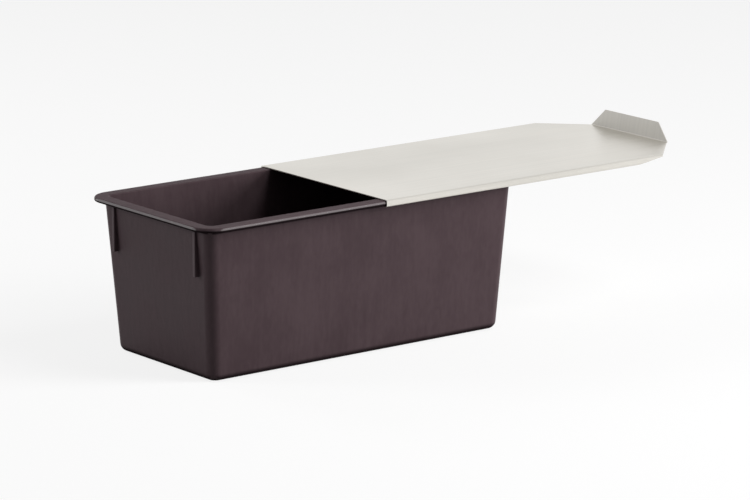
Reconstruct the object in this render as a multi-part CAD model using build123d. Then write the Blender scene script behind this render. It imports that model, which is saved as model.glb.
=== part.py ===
"""Pullman loaf pan: a one-piece moulded pan and the folded steel lid that slides along its rim.

Millimetres, Z up. The origin is the middle of the pan's underside. X runs along the pan
and Y across it. The lid slides along X and is drawn part of the way open.
"""
from build123d import *
import math
import os

os.makedirs("parts", exist_ok=True)

# Rim: the flat flange round the mouth
rim_length = 300.0
rim_width = 155.0
rim_height = 118.0
rim_thickness = 3.4
rim_corner_radius = 18.0
rim_top_edge_radius = 1.6
rim_lower_edge_radius = 1.2
rim_ledge = 11.4

# Body: walls that lean out towards the mouth, and a flat floor
wall_thickness = 3.0
floor_thickness = 3.0
draft_angle = 3.6
mouth_corner_radius = 5.5
mouth_edge_radius = 1.0
inner_floor_radius = 5.0
outer_floor_radius = 6.0
rim_root_radius = 1.5

# Stacking ribs: two upright fins under the rim on each end wall
rib_spacing = 103.0
rib_thickness = 3.0
rib_length = 36.1
rib_reach = 1.2
rib_edge_radius = 0.6

# Lid: one sheet, folded under the long sides of the rim
sheet_thickness = 0.8
fold_radius = 0.8
lid_side_clearance = 0.3
lid_top_clearance = 0.2
lid_hook_clearance = 0.3
hook_reach = 5.0
hook_cut_run = 25.0
lid_end_overlap = 2.5
corner_cut_along = 33.0
corner_cut_across = 33.0

# Pull tab: the end strip of the sheet, folded up
tab_height = 15.0
tab_end_inset = 14.0
tab_lean_angle = 10.5
tab_corner_radius = 1.5

# How far the drawn lid has been pulled from closed
lid_pull = 165.0

# How far a cutting solid runs past what it cuts
overrun = 10.0


def drafted_block(length, width, top, bottom, corner_radius, floor_radius):
    """A block whose four sides lean in towards the floor, with rounded corners."""
    outline = Plane.XY.offset(top) * Rectangle(length, width)
    block = extrude(outline, amount=bottom - top, taper=draft_angle)
    corners = [edge for edge in block.edges() if edge.bounding_box().size.Z > (top - bottom) / 2]
    block = fillet(corners, corner_radius)
    floor = block.faces().sort_by(Axis.Z)[0]
    return fillet(floor.edges(), floor_radius)


def make_rim():
    """The flange: a flat plate with rounded corners and soft outer edges."""
    outline = RectangleRounded(rim_length, rim_width, rim_corner_radius)
    plate = extrude(Plane.XY.offset(rim_height - rim_thickness) * outline, amount=rim_thickness)
    plate = fillet(plate.faces().sort_by(Axis.Z)[-1].edges(), rim_top_edge_radius)
    return fillet(plate.faces().sort_by(Axis.Z)[0].edges(), rim_lower_edge_radius)


def make_rib(end, side):
    """One stacking rib: it fills the space between an end wall and an upright outer edge."""
    lean = math.tan(math.radians(draft_angle))
    rim_underside = rim_height - rim_thickness
    wall_face = rim_length / 2 - rim_ledge + wall_thickness
    outer_face = wall_face + rib_reach
    inner_face = wall_face - wall_thickness / 2 - rib_length * lean
    depth = outer_face - inner_face
    place = Location((end * (outer_face - depth / 2), side * rib_spacing / 2, rim_underside - rib_length / 2))
    rib = place * Box(depth, rib_thickness, rib_length)
    edges = rib.edges().filter_by(Axis.Z).sort_by(Axis.X)
    return fillet(edges[-2:] if end > 0 else edges[:2], rib_edge_radius)


def is_rim_root(edge, underside, mouth_length, mouth_width):
    """Whether an edge lies where the rim's underside meets the wall."""
    box = edge.bounding_box()
    nearby = rim_root_radius / 10
    flat = abs(box.min.Z - underside) < nearby and abs(box.max.Z - underside) < nearby
    inside_x = max(abs(box.min.X), abs(box.max.X)) < mouth_length / 2 + 2 * wall_thickness
    inside_y = max(abs(box.min.Y), abs(box.max.Y)) < mouth_width / 2 + 2 * wall_thickness
    return flat and inside_x and inside_y


def make_pan():
    """The moulded pan: drafted body, rim and ribs, hollowed in one piece."""
    mouth_length = rim_length - 2 * rim_ledge
    mouth_width = rim_width - 2 * rim_ledge
    outside = drafted_block(
        mouth_length + 2 * wall_thickness,
        mouth_width + 2 * wall_thickness,
        rim_height,
        0,
        mouth_corner_radius + wall_thickness,
        outer_floor_radius,
    )
    pan = outside + make_rim()
    underside = rim_height - rim_thickness
    root = [edge for edge in pan.edges() if is_rim_root(edge, underside, mouth_length, mouth_width)]
    pan = fillet(root, rim_root_radius)
    for end in (-1, 1):
        for side in (-1, 1):
            pan += make_rib(end, side)
    pan -= drafted_block(
        mouth_length,
        mouth_width,
        rim_height,
        floor_thickness,
        mouth_corner_radius,
        inner_floor_radius,
    )
    mouth = pan.faces().sort_by(Axis.Z)[-1].inner_wires()[0]
    return fillet(mouth.edges(), mouth_edge_radius)


def make_lid():
    """The lid: a flat sheet with a hook along each side, cut corners and an upturned tab."""
    outer_radius = fold_radius + sheet_thickness
    inside_width = rim_width + 2 * lid_side_clearance
    inside_height = lid_top_clearance + rim_thickness + lid_hook_clearance
    width = inside_width + 2 * sheet_thickness
    height = inside_height + 2 * sheet_thickness
    top = rim_height + lid_top_clearance + sheet_thickness
    middle = top - height / 2
    length = rim_length + 2 * lid_end_overlap - outer_radius
    plain_end = -rim_length / 2 - lid_end_overlap
    tab_fold = plain_end + length

    section = RectangleRounded(width, height, outer_radius)
    section -= RectangleRounded(inside_width, inside_height, fold_radius)
    gap_width = inside_width - 2 * hook_reach
    section -= Pos(0, -height / 2) * Rectangle(gap_width, height)
    lid = extrude(Plane.YZ.offset(plain_end) * Pos(0, middle) * section, amount=length)

    hook_start = tab_fold - corner_cut_along
    fold_end = width / 2 - corner_cut_across
    corner = Polyline(
        (tab_fold, fold_end),
        (hook_start, width / 2),
        (hook_start, width / 2 + overrun),
        (tab_fold + overrun, width / 2 + overrun),
        (tab_fold + overrun, fold_end),
        close=True,
    )
    below_lid = Plane.XY.offset(top - height - overrun)
    corner_cut = extrude(below_lid * make_face(corner), amount=height + 2 * overrun)
    lid -= corner_cut + mirror(corner_cut, Plane.XZ)

    hook_end = Polyline(
        (hook_start, top - outer_radius),
        (hook_start - hook_cut_run, top - height),
        (hook_start - hook_cut_run, top - height - overrun),
        (tab_fold + overrun, top - height - overrun),
        (tab_fold + overrun, top - outer_radius),
        close=True,
    )
    lid -= extrude(Plane.XZ * make_face(hook_end), amount=width, both=True)
    lid += make_tab(tab_fold, top, fold_end)
    return Pos(lid_pull, 0, 0) * lid


def make_tab(tab_fold, top, fold_end):
    """The tab: a rounded fold, then a flat strip that leans out and narrows to its top edge."""
    outer_radius = fold_radius + sheet_thickness
    turn = 90 - tab_lean_angle
    lean = math.radians(tab_lean_angle)
    across = Vector(math.cos(lean), -math.sin(lean))
    along = Vector(math.sin(lean), math.cos(lean))
    centre = Vector(tab_fold, top + fold_radius)
    strip = tab_height - outer_radius
    outer_start = centre + across * outer_radius
    inner_start = centre + across * fold_radius
    profile = [
        CenterArc(tuple(centre), outer_radius, -90, turn),
        Line(tuple(outer_start), tuple(outer_start + along * strip)),
        Line(tuple(outer_start + along * strip), tuple(inner_start + along * strip)),
        Line(tuple(inner_start + along * strip), tuple(inner_start)),
        CenterArc(tuple(centre), fold_radius, -90, turn),
        Line((tab_fold, top), (tab_fold, top - sheet_thickness)),
    ]
    tab = extrude(Plane.XZ * make_face(profile), amount=fold_end, both=True)
    tip = top + fold_radius + strip * math.cos(lean)
    outline = Polyline(
        (-fold_end, top - sheet_thickness - overrun),
        (-fold_end, top),
        (-fold_end + tab_end_inset, tip),
        (fold_end - tab_end_inset, tip),
        (fold_end, top),
        (fold_end, top - sheet_thickness - overrun),
        close=True,
    )
    shape = make_face(outline)
    shape = fillet(shape.vertices().sort_by(Axis.Y)[-2:], tab_corner_radius)
    reach = outer_radius + tab_height
    return tab & extrude(Plane.YZ.offset(tab_fold) * shape, amount=reach)


export_step(make_pan(), "parts/pan.step")
export_step(make_lid(), "parts/sliding_lid.step")
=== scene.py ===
# %% [markdown]
# # A pullman loaf pan with a sliding lid
# A pullman pan is closed while it bakes, so that its top comes out as square as its sides. The dark pan is
# one deep moulding with a flat rim, and the lid is one sheet of steel, folded so that it hooks under the
# rim and slides off endways. Nothing else is there, so all the work goes into two good surfaces: a satin,
# cocoa-dark composite and brushed steel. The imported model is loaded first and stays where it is. It gives
# every size and place below, and the pieces made here stand for its two plain solids.

import math

import bmesh
import bpy
from mathutils import Matrix, Vector


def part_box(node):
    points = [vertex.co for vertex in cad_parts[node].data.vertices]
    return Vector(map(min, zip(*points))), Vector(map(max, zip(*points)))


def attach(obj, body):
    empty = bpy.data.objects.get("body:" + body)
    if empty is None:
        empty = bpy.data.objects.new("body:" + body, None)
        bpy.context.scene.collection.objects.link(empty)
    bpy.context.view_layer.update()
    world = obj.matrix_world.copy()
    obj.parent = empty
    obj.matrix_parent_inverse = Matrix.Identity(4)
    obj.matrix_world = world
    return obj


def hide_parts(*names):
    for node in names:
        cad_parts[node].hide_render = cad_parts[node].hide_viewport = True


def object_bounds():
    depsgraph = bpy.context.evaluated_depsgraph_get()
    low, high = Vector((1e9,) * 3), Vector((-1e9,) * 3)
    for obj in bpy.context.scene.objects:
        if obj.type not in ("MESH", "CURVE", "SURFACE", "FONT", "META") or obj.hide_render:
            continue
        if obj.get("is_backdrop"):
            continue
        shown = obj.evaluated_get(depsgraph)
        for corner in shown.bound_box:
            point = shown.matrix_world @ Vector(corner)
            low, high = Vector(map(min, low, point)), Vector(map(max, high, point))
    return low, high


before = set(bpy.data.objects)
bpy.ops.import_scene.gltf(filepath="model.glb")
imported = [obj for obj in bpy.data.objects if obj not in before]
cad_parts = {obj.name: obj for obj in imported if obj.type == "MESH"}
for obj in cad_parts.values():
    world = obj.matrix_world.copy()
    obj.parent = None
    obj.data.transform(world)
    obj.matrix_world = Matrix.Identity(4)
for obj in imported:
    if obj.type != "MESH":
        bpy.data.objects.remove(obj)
cad_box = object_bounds()
mm = 0.001
pan_low, pan_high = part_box("pan")
lid_low, lid_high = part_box("sliding_lid")
print("pan", [round(side / mm, 1) for side in pan_high - pan_low], "mm")
print("lid", [round(side / mm, 1) for side in lid_high - lid_low], "mm")

# %% [markdown]
# ## The camera
# The photograph was taken with a long lens from a little above the rim, so the long edges stay almost
# parallel. The straight edges of the pan gave the viewpoint: about 3.1 metres away, 37 degrees round from
# the long side and 12 degrees above the rim. A shorter lens nearer by would frame the pan alike, but the
# far rim would shrink, so the distance is kept and the lens is long. Only the aim differs, so that the open
# lid is in the middle of the picture.

# %% Put the camera where the photograph was taken from
picture_width = 750
focal_length_in_pixels = 4172
camera_place = Vector((-1.827, -2.4445, 0.777))
camera_aim = Vector((0.062, 0.0, 0.060))


def face_towards(thing, place, aim):
    """Stand a lamp or a camera at a place and turn it to face a point."""
    thing.location = place
    thing.rotation_euler = (aim - place).to_track_quat("-Z", "Y").to_euler()
    bpy.context.scene.collection.objects.link(thing)


camera = bpy.data.objects.new("camera", bpy.data.cameras.new("camera"))
camera.data.sensor_width = 36
camera.data.lens = focal_length_in_pixels / picture_width * camera.data.sensor_width
face_towards(camera, camera_place, camera_aim)
bpy.context.scene.camera = camera
bpy.context.scene.view_settings.view_transform = "Standard"
print("lens", round(camera.data.lens), "mm, distance", round((camera_place - camera_aim).length, 2), "m")

# %% [markdown]
# ## Shader sums that read like sums
# A procedural finish is mostly arithmetic on noise, and a long list of node links hides what it says. One
# small class wraps a socket, so that `0.5 + 0.1 * noise` adds the Math nodes by itself. Every other node
# comes from one method, which sets what the node is before its sockets. Groups of nodes would be reusable
# too, but a class is shorter to read.

# %% A socket that does arithmetic
class Value:
    """The output of a node. Sums with it add Math nodes to its tree."""

    def __init__(self, tree, socket):
        self.tree = tree
        self.socket = socket

    def node(self, kind, settings=None, sockets=None, output=0):
        """Add a node of a kind, apply its settings, then fill its sockets with numbers or links."""
        made = self.tree.nodes.new(kind)
        for name, setting in (settings or {}).items():
            setattr(made, name, setting)
        for name, value in (sockets or {}).items():
            if isinstance(value, Value):
                self.tree.links.new(value.socket, made.inputs[name])
            else:
                made.inputs[name].default_value = value
        return Value(self.tree, made.outputs[output]) if made.outputs else None

    def sum(self, operation, *values):
        return self.node("ShaderNodeMath", {"operation": operation}, dict(enumerate(values)))

    def __add__(self, other):
        return self.sum("ADD", self, other)

    def __sub__(self, other):
        return self.sum("SUBTRACT", self, other)

    def __rsub__(self, other):
        return self.sum("SUBTRACT", other, self)

    def __mul__(self, other):
        return self.sum("MULTIPLY", self, other)

    __radd__ = __add__
    __rmul__ = __mul__

    def size(self):
        """The value without its sign."""
        return self.sum("ABSOLUTE", self)

    def sign(self):
        return self.sum("SIGN", self)

    def at_least(self, limit):
        return self.sum("MAXIMUM", self, limit)

    def rise(self, start, end):
        """0 up to start, 1 from end on, and a soft step between. Give the larger first for a fall."""
        return self.node(
            "ShaderNodeMapRange",
            {"interpolation_type": "SMOOTHSTEP"},
            {"Value": self, "From Min": start, "From Max": end},
        )

    def vector(self, across, up):
        """A vector with this value as its X."""
        return self.node("ShaderNodeCombineXYZ", None, {0: self, 1: across, 2: up})

    def stretch(self, x, y, z):
        """This vector with each part scaled, which sets how long a pattern is each way."""
        return self.node("ShaderNodeMapping", None, {"Vector": self, "Scale": (x, y, z)})

    def noise(self, scale, detail):
        """Cloudy noise from 0 to 1 at this place; scale is in features a metre."""
        return self.node("ShaderNodeTexNoise", None, {"Vector": self, "Scale": scale, "Detail": detail})

    def blend(self, first, second):
        """A colour that goes from the first to the second as this value goes from 0 to 1."""
        names = {"Factor": self, 6: first, 7: second}
        return self.node("ShaderNodeMix", {"data_type": "RGBA"}, names, output=2)

    def bump(self, depth, under=None):
        """A normal from this height, which counts in units of depth metres, on top of another normal."""
        sockets = {"Height": self, "Distance": depth, "Strength": 1.0}
        return self.node("ShaderNodeBump", None, sockets | ({"Normal": under} if under else {}))


def parts_of(place):
    """The X, Y and Z of a vector, each as a value."""
    return [place.node("ShaderNodeSeparateXYZ", None, {"Vector": place}, output=axis) for axis in range(3)]


# %% Start and end a finish
def new_finish(name):
    """A material with an empty tree, and the place on the object that its patterns follow."""
    material = bpy.data.materials.new(name)
    material.use_nodes = True
    tree = material.node_tree
    tree.nodes.clear()
    place = Value(tree, None).node("ShaderNodeTexCoord", output="Object")
    return material, place


def shader(place, sockets):
    """A physically based shader with these sockets filled."""
    return place.node("ShaderNodeBsdfPrincipled", None, sockets)


def surface(place, outermost):
    """Close a finish with its outermost shader."""
    place.node("ShaderNodeOutputMaterial", None, {"Surface": outermost})


print("shader kit ready")

# %% [markdown]
# ## The studio
# The pan is shown on a white sweep under soft light. Even light from all round would hide the form of so
# dark a thing. So the room gives more soft light from behind the pan than from its dim side, about where
# the camera stands, and the corner that faces the camera is a dark band between two lighter walls. The
# camera itself sees plain white. Metal mirrors a white room too, but with one greyer side, because steel
# that mirrors nothing but white looks like paper.

# %% Tell the rays apart
def seen_by(value):
    """Two values of 0 or 1: is this seen straight by the camera, and is it seen in metal or glass."""
    kinds = ("Is Camera Ray", "Is Glossy Ray", "Is Transmission Ray")
    camera_ray, glossy_ray, through_ray = [value.node("ShaderNodeLightPath", output=kind) for kind in kinds]
    return camera_ray, glossy_ray + through_ray


# %% A white room with one greyer side
room = bpy.data.worlds.new("studio room")
room.use_nodes = True
room.node_tree.nodes.clear()
bpy.context.scene.world = room
direction = Value(room.node_tree, None).node("ShaderNodeTexCoord", output="Generated")
rightwards, backwards, upwards = parts_of(direction)

dim_side = math.radians(35.25)
away_from_dim_side = math.sin(dim_side) * rightwards + math.cos(dim_side) * backwards
light_from_dim_side, light_from_behind = 0.08, 0.26
behind = away_from_dim_side.rise(-0.85, -0.45) * upwards.rise(0.62, 0.25) * (0.72 + 0.25 * rightwards)
light_on_things = light_from_dim_side + light_from_behind * behind

grey_side = 0.55
bright_side = rightwards.rise(-0.75, 0.45) * upwards.rise(1.0, 0.65)
seen_in_metal = grey_side + (1 - grey_side) * bright_side

straight, mirrored = seen_by(direction)
strength = straight + mirrored * seen_in_metal + (1 - straight - mirrored) * light_on_things
backdrop = direction.node("ShaderNodeBackground", None, {"Color": (1, 1, 1, 1), "Strength": strength})
direction.node("ShaderNodeOutputWorld", None, {"Surface": backdrop})

# %% [markdown]
# Four soft lamps shape what the room leaves flat. The strongest stands low on the right and lights the long
# wall right up to the rim, and a taller one reaches into the mouth. The left one lights the end wall, and
# the back one the far rim. None of them shows in reflections: a lamp that a flat sheet mirrors burns it out
# from one side and leaves it dull from all others, so the steel mirrors only the room.

# %% Four soft lamps
def soft_lamp(name, place, width, height, radiance):
    """An area lamp that faces the pan. Its power is what gives it a brightness, where 1 is white."""
    light = bpy.data.lights.new(name, "AREA")
    light.shape = "RECTANGLE"
    light.size, light.size_y = width, height
    light.energy = radiance * math.pi * width * height
    lamp = bpy.data.objects.new(name, light)
    lamp.visible_camera = False
    lamp.visible_glossy = False
    face_towards(lamp, Vector(place), camera_aim)
    print(name, round(light.energy, 1), "watts")


soft_lamp("tall_lamp", (0.45, -0.80, 1.10), 0.50, 0.70, 6.5)
soft_lamp("right_lamp", (1.95, -1.78, 0.74), 1.02, 1.19, 17.0)
soft_lamp("left_lamp", (-1.98, 1.50, 1.05), 0.96, 0.96, 7.3)
soft_lamp("back_lamp", (-0.36, 1.44, 1.02), 0.40, 0.50, 6.0)

# %% [markdown]
# A floor lit until it's white would throw that light up at the pan. So the floor is a grey card that takes
# the shadows, and its colour has an even glow that only the camera and mirrors see. In mirrors the glow
# fades close to the pan's foot, where an Ambient Occlusion node finds the floor covered, so the foot stays
# dark as it does in a real shadow.

# %% A floor that stays pale and keeps the shadow
floor_reach = 12.0
floor_gap = 0.2 * mm
mesh = bmesh.new()
level_floor = Matrix.Translation((0, 0, pan_low.z - floor_gap))
bmesh.ops.create_grid(mesh, x_segments=1, y_segments=1, size=floor_reach, matrix=level_floor)
floor = bpy.data.objects.new("floor", bpy.data.meshes.new("floor"))
mesh.to_mesh(floor.data)
mesh.free()
bpy.context.scene.collection.objects.link(floor)
floor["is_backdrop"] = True

finish, place = new_finish("white sweep")
straight, mirrored = seen_by(place)
covered_within = 70 * mm
openness = place.node("ShaderNodeAmbientOcclusion", {"samples": 8}, {"Distance": covered_within}, output="AO")
black, card, white = (0, 0, 0, 1), (0.2, 0.2, 0.2, 1), (1, 1, 1, 1)
glow = (straight + mirrored * openness.rise(0.3, 1.0)).blend(black, white)
sweep = shader(place, {"Base Color": card, "Roughness": 0.9, "Specular IOR Level": 0.0,
                       "Emission Color": glow, "Emission Strength": 0.82})
surface(place, sweep)
floor.data.materials.append(finish)
print("floor at", round(floor.data.vertices[0].co.z / mm, 2), "mm")

# %% [markdown]
# ## The moulded pan
# The real pan is moulded in one piece. A mould has to let it go, so its walls lean out by a few degrees,
# and no edge is sharp: each is rounded on a small radius. It could be a box with bevels, but a bevel runs
# one radius along an edge, and here the corners change from 8.5 mm on the wall to 18 mm on the rim. So the
# shell is drawn as a boat builder would, as a stack of level lines: up the outside, over the rim and down
# the inside. Each line is a rectangle with rounded corners, and bridging them gives one closed skin. Where
# the section turns, the lines are close together.

# %% Sizes of the section
rim_thickness = 3.4 * mm
rim_corner = 18 * mm
rim_top_rounding = 1.6 * mm
rim_lower_rounding = 1.2 * mm
rim_ledge = 11.4 * mm
wall_thickness = 3 * mm
floor_thickness = 3 * mm
draft = math.radians(3.6)
mouth_corner = 5.5 * mm
mouth_rounding = 1 * mm
inner_floor_rounding = 5 * mm
outer_floor_rounding = 6 * mm
rim_root_rounding = 1.5 * mm

half_length, half_width = pan_high.x, pan_high.y
rim_top = pan_high.z
rim_underside = rim_top - rim_thickness
right_angle = math.pi / 2


def inner_line(height):
    """How far the inner wall lies inside the rim's edge at a height."""
    return rim_ledge + (rim_top - height) * math.tan(draft)


def outer_line(height):
    return inner_line(height) - wall_thickness


def rim_line(height):
    return 0.0


for name, inset in (("mouth", rim_ledge), ("base", outer_line(0))):
    print(name, *[round(2 * (half - inset) / mm, 1) for half in (half_length, half_width)], "mm")

# %% Turn the section into level lines
def rounding(line, corner, radius, height, side, start, end, steps):
    """Level lines round one edge of the section, as (inset, height, corner radius).

    The arc's middle is at the height, and one radius inside (side 1) or outside (side -1) the line that it
    leaves. The angles count from straight out, 0, to straight up. A line further in has a smaller corner.
    """
    slope = 0 if line is rim_line else draft
    middle = line(height) + side * radius / math.cos(slope)
    levels = []
    for step in range(steps + 1):
        angle = start + (end - start) * step / steps
        inset = middle - radius * math.cos(angle)
        up = height + radius * math.sin(angle)
        levels.append((inset, up, corner + line(up) - inset))
    return levels


outer_corner = mouth_corner + wall_thickness
section = (
    rounding(outer_line, outer_corner, outer_floor_rounding, outer_floor_rounding, 1,
             -right_angle, -draft, steps=8)
    + rounding(outer_line, outer_corner, rim_root_rounding, rim_underside - rim_root_rounding, -1,
               math.pi - draft, right_angle, steps=4)
    + rounding(rim_line, rim_corner, rim_lower_rounding, rim_underside + rim_lower_rounding, 1,
               -right_angle, 0, steps=4)
    + rounding(rim_line, rim_corner, rim_top_rounding, rim_top - rim_top_rounding, 1,
               0, right_angle, steps=6)
    + rounding(inner_line, mouth_corner, mouth_rounding, rim_top - mouth_rounding, -1,
               right_angle, math.pi - draft, steps=5)
    + rounding(inner_line, mouth_corner, inner_floor_rounding, floor_thickness + inner_floor_rounding, 1,
               -draft, -right_angle, steps=8)
)
print(len(section), "level lines")

# %% [markdown]
# Each line is a flat square with its corners bevelled, so that all lines have the same number of corners
# and bridge one to one. Bridging lines that lie in one level, as at the rim's top, can twist the strip
# between them. So the lines are first stacked well apart, bridged, and then brought down to their true
# heights.

# %% Draw the lines and bridge them
corner_steps = 12


def once_each(items):
    """The items without repeats, in the order they come, so that every run builds the same mesh."""
    return list(dict.fromkeys(items))


def level_line(mesh, inset, height, corner):
    """A rectangle with rounded corners, as a loop of edges: a flat grid of one face, its corners bevelled."""
    earlier = set(mesh.edges)
    stretch = Matrix.Diagonal((half_length - inset, half_width - inset, 1, 1))
    square = bmesh.ops.create_grid(mesh, x_segments=1, y_segments=1, size=1,
                                   matrix=Matrix.Translation((0, 0, height)) @ stretch)
    bmesh.ops.bevel(mesh, geom=square["verts"], offset=corner, segments=corner_steps, profile=0.5,
                    affect="VERTICES", material=-1)
    loop = [edge for edge in mesh.edges if edge not in earlier]
    faces = once_each(face for edge in loop for face in edge.link_faces)
    bmesh.ops.delete(mesh, geom=faces, context="FACES_ONLY")
    return loop


def new_piece(name, mesh):
    """Turn a finished bmesh into an object with smooth faces."""
    for face in mesh.faces:
        face.smooth = True
    piece = bpy.data.objects.new(name, bpy.data.meshes.new(name))
    mesh.to_mesh(piece.data)
    mesh.free()
    bpy.context.scene.collection.objects.link(piece)
    return piece


def corners_of(edges):
    return once_each(corner for edge in edges for corner in edge.verts)


mesh = bmesh.new()
apart = 10 * mm
loops = [level_line(mesh, inset, apart * number, corner)
         for number, (inset, height, corner) in enumerate(section)]
for lower, upper in zip(loops, loops[1:]):
    bmesh.ops.bridge_loops(mesh, edges=lower + upper)
for number, (inset, height, corner) in enumerate(section):
    bmesh.ops.translate(mesh, verts=corners_of(loops[number]), vec=(0, 0, height - apart * number))
for end in (loops[0], loops[-1]):
    bmesh.ops.edgeloop_fill(mesh, edges=end)
bmesh.ops.recalc_face_normals(mesh, faces=mesh.faces)
print("shell volume", round(mesh.calc_volume() / mm ** 3), "mm3, open edges",
      sum(not edge.is_manifold for edge in mesh.edges))
shell = new_piece("moulded_pan", mesh)

# %% [markdown]
# Under the rim, each end wall carries two upright ribs, which keep stacked pans from jamming. A rib's outer
# face is plumb while the wall behind it leans, so it grows deeper towards its foot. A cube is drawn into
# that shape: its back follows the middle of the wall, and its two outer edges are bevelled. A Boolean then
# joins the ribs to the shell, because they are one moulding, and the joint reads as a clean line.

# %% Stacking ribs
rib_spacing = 103 * mm
rib_thickness = 3 * mm
rib_length = 36.1 * mm
rib_reach = 1.2 * mm
rib_rounding = 0.6 * mm
rib_face = half_length - outer_line(rim_top) + rib_reach
rib_foot = rim_underside - rib_length
rib_head = rim_underside + rim_thickness / 3


def add_rib(mesh, end, side):
    """One rib on the end wall at X of that sign, on the side at Y of that sign."""
    stretch = Matrix.Diagonal((rib_reach, rib_thickness, rib_head - rib_foot, 1))
    middle = Matrix.Translation((end * rib_face, side * rib_spacing / 2, (rib_head + rib_foot) / 2))
    corners = bmesh.ops.create_cube(mesh, size=1, matrix=middle @ stretch)["verts"]
    outer = [corner for corner in corners if abs(corner.co.x) > rib_face]
    for corner in corners:
        behind = half_length - outer_line(corner.co.z) - wall_thickness / 2
        corner.co.x = end * (rib_face if corner in outer else behind)
    upright = [edge for edge in mesh.edges if all(corner in outer for corner in edge.verts)
               and abs(edge.verts[0].co.z - edge.verts[1].co.z) > rib_thickness]
    bmesh.ops.bevel(mesh, geom=upright, offset=rib_rounding, segments=4, profile=0.5, affect="EDGES",
                    material=-1)


mesh = bmesh.new()
for end in (-1, 1):
    for side in (-1, 1):
        add_rib(mesh, end, side)
bmesh.ops.recalc_face_normals(mesh, faces=mesh.faces)
ribs = new_piece("ribs", mesh)

# %% Join the ribs to the shell
def bake_modifiers(piece):
    """Replace a piece's mesh by what its modifiers make of it."""
    shown = piece.evaluated_get(bpy.context.evaluated_depsgraph_get())
    piece.data = bpy.data.meshes.new_from_object(shown)
    piece.modifiers.clear()


def crease(piece, angle):
    """Mark the edges that are meant to look sharp, so that shading isn't smoothed over them."""
    mesh = bmesh.new()
    mesh.from_mesh(piece.data)
    for edge in mesh.edges:
        edge.smooth = edge.is_manifold and edge.calc_face_angle() < angle
    mesh.to_mesh(piece.data)
    mesh.free()


join = shell.modifiers.new("join ribs", "BOOLEAN")
join.operation = "UNION"
join.solver = "EXACT"
join.object = ribs
bake_modifiers(shell)
bpy.data.objects.remove(ribs)
crease(shell, math.radians(35))
shell.modifiers.new("flat faces stay flat", "WEIGHTED_NORMAL").keep_sharp = True
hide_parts("pan")
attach(shell, "pan")
print(len(shell.data.vertices), "corners,", len(shell.data.polygons), "faces")

# %% [markdown]
# ## The finish of the pan
# The composite is a very dark cocoa brown with a satin skin. Its colour is written as dark as it is, and
# soft reflections of the room make it look like charcoal. Seen near, a moulding like this has a fine grain,
# faint clouds where the fibres lie, and thin upright marks where it was drawn out of the mould. The steel
# lid rubs the long sides of the rim, so they are paler. The outer faces of the ribs are painted paler too,
# a painted highlight for the light that their plumb faces catch. Hands and the lid burnish the rim's outer
# edge, which a thin coat stands for: it draws the bright line round the mouth. Below it, under the rim, and
# along the foot, painted shade makes the skin almost black and dull, standing for the shadow there.
# An image could carry all this, but noise in real sizes holds at any distance and needs no unwrapping.

# %% Where the composite is worn, and where highlight and shade are painted
finish, place = new_finish("satin composite")
x, y, z = parts_of(place)

up_the_rim = z - rim_underside
past_side = y.size() - half_width
past_rim = (x.size() - half_length).at_least(past_side)
past_rib = x.size() - rib_face

level_top = up_the_rim.rise(rim_thickness - 0.5 * mm, rim_thickness - 0.05 * mm)
on_walls = up_the_rim.rise(0, -2 * mm)
worn_edge = past_rim.rise(-0.8 * mm, -0.35 * mm) * up_the_rim.rise(1.2 * mm, 1.9 * mm)
scuffs = place.stretch(9, 260, 260).noise(1, 3.0).rise(0.35, 0.7)
rubbed = past_side.rise(-6 * mm, -1 * mm) * up_the_rim.rise(0, rim_thickness - rim_top_rounding) * scuffs
# Painted highlight: the plumb outer faces of the ribs are made paler for the light that they catch.
rib_face_highlight = past_rib.rise(-0.5 * mm, -0.15 * mm) * up_the_rim.rise(0, -1.5 * mm)
# Real wear on the rim's long sides and the painted highlight on the ribs share one paler colour.
wear_and_rib_highlight = (rubbed * 0.45).at_least(rib_face_highlight)

mid_wall = (rim_top - z) * math.tan(draft) + (rim_ledge - wall_thickness / 2)
outside = (past_rim + mid_wall).rise(-0.5 * mm, 0.5 * mm)
# Painted shade: the skin goes almost black under the rim's overhang and along the foot, where shadow falls.
shade_under_rim = outside * up_the_rim.rise(-3.2 * mm, -1.8 * mm) * up_the_rim.rise(2 * mm, 1.2 * mm)
foot = (outside * z.rise(6 * mm, 1.5 * mm)).at_least(z.rise(floor_thickness, 0.5 * mm))
painted_shade = shade_under_rim.at_least(foot)

# %% Satin composite
clouds = place.noise(28, 3.0)
fibres = place.stretch(1, 1, 0.35).noise(420, 2.0)
drawn = place.stretch(190, 190, 7).noise(1, 2.0)
grain = place.noise(1500, 1.0)

cocoa = (0.059, 0.039, 0.044, 1)
pale_cocoa = (0.080, 0.055, 0.061, 1)
pale_wear_and_highlight = (0.125, 0.096, 0.104, 1)
# The near-black colour of the painted shade.
painted_shade_colour = (0.010, 0.006, 0.007, 1)
mottled = (clouds * 0.5 + fibres * 0.25 + drawn * 0.25).rise(0.32, 0.68).blend(cocoa, pale_cocoa)
colour = wear_and_rib_highlight.blend(mottled, pale_wear_and_highlight)
roughness = 0.48 + 0.2 * level_top + 0.06 * clouds.rise(0.3, 0.7) + 0.05 * on_walls * drawn
skin = (grain * 0.5 + fibres * 0.5).bump(0.02 * mm, (drawn * on_walls).bump(0.05 * mm))
rosy = (1.0, 0.80, 0.85, 1)
satin = shader(place, {"Base Color": colour, "Roughness": roughness, "Normal": skin,
                       "Specular IOR Level": 0.22, "Specular Tint": rosy,
                       "Coat Weight": worn_edge, "Coat Roughness": 0.25, "Coat IOR": 2.2})
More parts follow.
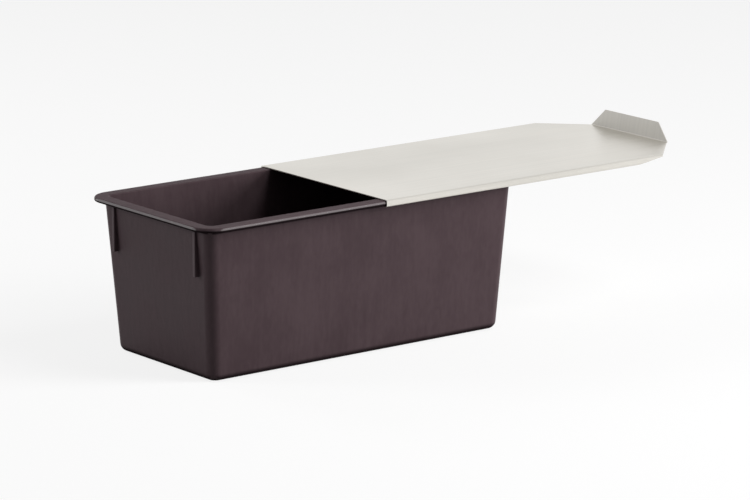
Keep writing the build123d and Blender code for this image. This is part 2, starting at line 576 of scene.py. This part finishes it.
# The painted shade's dull shader, without reflections, laid over the satin under the rim and along the foot.
painted_shade_shader = shader(place, {"Base Color": painted_shade_colour, "Roughness": 0.9, "Specular IOR Level": 0.0, "Normal": skin})
surface(place, place.node("ShaderNodeMixShader", None, {0: painted_shade * 0.9, 1: satin, 2: painted_shade_shader}))
shell.data.materials.clear()
shell.data.materials.append(finish)
print("satin composite on", shell.name)

# %% [markdown]
# ## The folded lid
# The lid is cut from 0.8 mm sheet and folded. On each long side the sheet turns down and under, and the two
# hooks run along the rim. At one end the corners are cut off and the strip between them is folded up as a
# pull. The mesh is made in the order that a metal worker would use: half of a flat sheet, a spin for each
# fold, an extrusion for each flat between folds, then the cuts, then a mirror for the other half. The sheet
# is drawn as its top face without thickness, and Solidify gives the wall. A solid block cut hollow would
# look the same but hide how it's made.

# %% Sizes of the sheet
sheet = 0.8 * mm
inside_fold = 0.8 * mm
outside_fold = inside_fold + sheet
hook_reach = 5 * mm
hook_cut_run = 25 * mm
corner_cut = 33 * mm
tab_height = 15 * mm
tab_end_inset = 14 * mm
tab_lean = math.radians(10.5)
tab_corner = 1.5 * mm
lid_top_clearance = 0.2 * mm

plate_top = rim_top + lid_top_clearance + sheet
side_face = lid_high.y
plain_end = lid_low.x
hook_foot = lid_low.z
tab_turn = right_angle - tab_lean
tab_strip = tab_height - outside_fold
tab_fold = lid_high.x - outside_fold * math.cos(tab_lean) - tab_strip * math.sin(tab_lean)
tab_middle = plate_top + inside_fold
tip_height = tab_middle + tab_strip * math.cos(tab_lean)
hook_start = tab_fold - corner_cut
fold_end = side_face - corner_cut
print("sheet", round((tab_fold - plain_end) / mm, 1), "mm long to the tab's fold")

# %% Fold half of the sheet
fold_steps = 8
same_place = sheet / 100
mesh = bmesh.new()


def edges_at(axis, value):
    """The edges of the sheet that lie at one X, Y or Z."""
    return [edge for edge in mesh.edges
            if all(abs(corner.co[axis] - value) < same_place for corner in edge.verts)]


def fold(edges, middle, axis, angle):
    """Spin an edge round the middle of a fold, and give the edges at its far side."""
    spun = bmesh.ops.spin(mesh, geom=corners_of(edges) + edges, cent=middle, axis=axis, angle=angle,
                          steps=fold_steps, dvec=(0, 0, 0), use_merge=False, use_duplicate=False)
    return [item for item in spun["geom_last"] if isinstance(item, bmesh.types.BMEdge)]


def pull_out(edges, step):
    """Extrude edges by a step, and give the new edges."""
    out = bmesh.ops.extrude_edge_only(mesh, edges=edges)["geom"]
    bmesh.ops.translate(mesh, verts=[item for item in out if isinstance(item, bmesh.types.BMVert)], vec=step)
    return [item for item in out if isinstance(item, bmesh.types.BMEdge)]


half_plate = side_face - outside_fold
length = tab_fold - plain_end
stretch = Matrix.Diagonal((length / 2, half_plate / 2, 1, 1))
place_plate = Matrix.Translation((plain_end + length / 2, half_plate / 2, plate_top))
bmesh.ops.create_grid(mesh, x_segments=1, y_segments=1, size=1, matrix=place_plate @ stretch)
side_edge = edges_at(1, half_plate)
upright = fold(side_edge, (0, half_plate, plate_top - outside_fold), (1, 0, 0), -right_angle)
upright = pull_out(upright, (0, 0, hook_foot - plate_top + 2 * outside_fold))
under = fold(upright, (0, half_plate, hook_foot + outside_fold), (1, 0, 0), -right_angle)
pull_out(under, (0, outside_fold - sheet - hook_reach, 0))
print("half sheet folded,", len(mesh.faces), "faces")

# %% [markdown]
# A cut is a plane through the sheet with everything beyond it cleared away. The hook ends are cut on a
# slant first, so that the lid finds the rim easily, and that cut touches only the faces below the plate.
# The corner cut then takes the plate and its fold together.

# %% Cut the hook end and the corner
def cut(faces, through, outwards):
    """Clear away what lies beyond a plane from these faces. Corners that others share are kept for them."""
    edges = once_each(edge for face in faces for edge in face.edges)
    own_corners = [corner for corner in corners_of(edges) if set(corner.link_faces) <= set(faces)]
    bmesh.ops.bisect_plane(mesh, geom=list(faces) + edges + own_corners, dist=sheet / 1000,
                           plane_co=through, plane_no=outwards, clear_outer=True)


hooks = [face for face in mesh.faces if face.calc_center_median().z < plate_top - outside_fold]
slant = Vector((hook_cut_run, 0, plate_top - outside_fold - hook_foot))
cut(hooks, (hook_start, 0, plate_top - outside_fold), (slant.z, 0, -slant.x))
cut(list(mesh.faces), (hook_start, side_face, plate_top), (1, 1, 0))

# %% Fold up the pull tab
tab_edge = [edge for edge in edges_at(0, tab_fold) if abs(edge.verts[0].co.z - plate_top) < same_place]
before_tab = set(mesh.faces)
bent = fold(tab_edge, (tab_fold, 0, tab_middle), (0, 1, 0), -tab_turn)
pull_out(bent, (tab_strip * math.sin(tab_lean), 0, tab_strip * math.cos(tab_lean)))
narrowing = (0, tip_height - plate_top, tab_end_inset)
cut([face for face in mesh.faces if face not in before_tab], (tab_fold, fold_end, plate_top), narrowing)
top_of_tab = max(corner.co.z for corner in mesh.verts)
tip_corner = max(corners_of(edges_at(2, top_of_tab)), key=lambda corner: corner.co.y)
tip_turn = math.radians(45)
bmesh.ops.bevel(mesh, geom=[tip_corner], offset=tab_corner * math.tan(tip_turn / 2), segments=5,
                profile=0.5, affect="VERTICES", material=-1)

# %% Mirror the half, and give the sheet its thickness
bmesh.ops.mirror(mesh, geom=mesh.verts[:] + mesh.edges[:] + mesh.faces[:], axis="Y", merge_dist=same_place)
bmesh.ops.remove_doubles(mesh, verts=mesh.verts, dist=same_place)
bmesh.ops.recalc_face_normals(mesh, faces=mesh.faces)
plate = max(mesh.faces, key=lambda face: face.calc_area())
if plate.normal.z < 0:
    bmesh.ops.reverse_faces(mesh, faces=mesh.faces)
print("open edges", sum(edge.is_boundary for edge in mesh.edges), "faces", len(mesh.faces))
lid = new_piece("folded_lid", mesh)

wall = lid.modifiers.new("sheet thickness", "SOLIDIFY")
wall.thickness = sheet
wall.offset = -1
wall.use_even_offset = True
softened = lid.modifiers.new("deburred edges", "BEVEL")
softened.width = 0.12 * mm
softened.segments = 2
softened.limit_method = "ANGLE"
softened.angle_limit = math.radians(50)
lid.modifiers.new("flat faces stay flat", "WEIGHTED_NORMAL").keep_sharp = True
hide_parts("sliding_lid")
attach(lid, "lid")

# %% [markdown]
# ## Brushed steel
# The sheet was brushed along its length while it was flat, and folded afterwards. So the fine lines go over
# the side folds without turning, and run straight up the tab. The pattern is drawn on the sheet as if it
# were unfolded again: what lies below the plate counts as further across, and what stands above it counts
# as further along. The grey follows the lines and, more softly, broad waves in the rolled sheet, because a
# plate of one even grey looks like paper. In the grey the waves are partly the sheet's own uneven tone and
# partly a painted sheen, standing for the patchy reflections of a rolled sheet.

# %% Brushed steel with the lines of the flat sheet
finish, place = new_finish("brushed steel")
x, y, z = parts_of(place)
along = x + (z - plate_top).at_least(0)
across = y + y.sign() * (plate_top - z).at_least(0)
flat = along.vector(across, 0)

fine_lines = flat.stretch(12, 2400, 1).noise(1, 2.0)
broad_lines = flat.stretch(2.5, 330, 1).noise(1, 3.0)
smudges = flat.noise(22, 3.0)
waves_and_sheen = flat.stretch(5, 9, 1).noise(1, 1.0)

steel = (0.65, 0.63, 0.58, 1)
bright_steel = (0.79, 0.764, 0.71, 1)
lines = fine_lines * 0.5 + broad_lines * 0.5
# Painted sheen: the broad waves make the steel's grey lighter and darker in patches.
colour = (lines * 0.55 + waves_and_sheen * 0.45).rise(0.3, 0.7).blend(steel, bright_steel)
roughness = 0.30 + 0.08 * lines.rise(0.3, 0.7) + 0.025 * smudges.rise(0.35, 0.65)
brushed = lines.bump(0.006 * mm, waves_and_sheen.bump(0.12 * mm))
metal = shader(place, {"Base Color": colour, "Metallic": 1.0, "Roughness": roughness, "Normal": brushed})
surface(place, metal)
lid.data.materials.append(finish)
print("brushed steel on", lid.name)

# %% [markdown]
# ## The two boxes
# The model and the finished pieces have to fill the same box, so both boxes are printed.

# %% Print the two boxes
boxes = {"cad": [list(corner) for corner in cad_box], "visual": [list(corner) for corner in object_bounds()]}
for name, (low, high) in boxes.items():
    print(name, [round(value / mm, 2) for value in low], [round(value / mm, 2) for value in high])
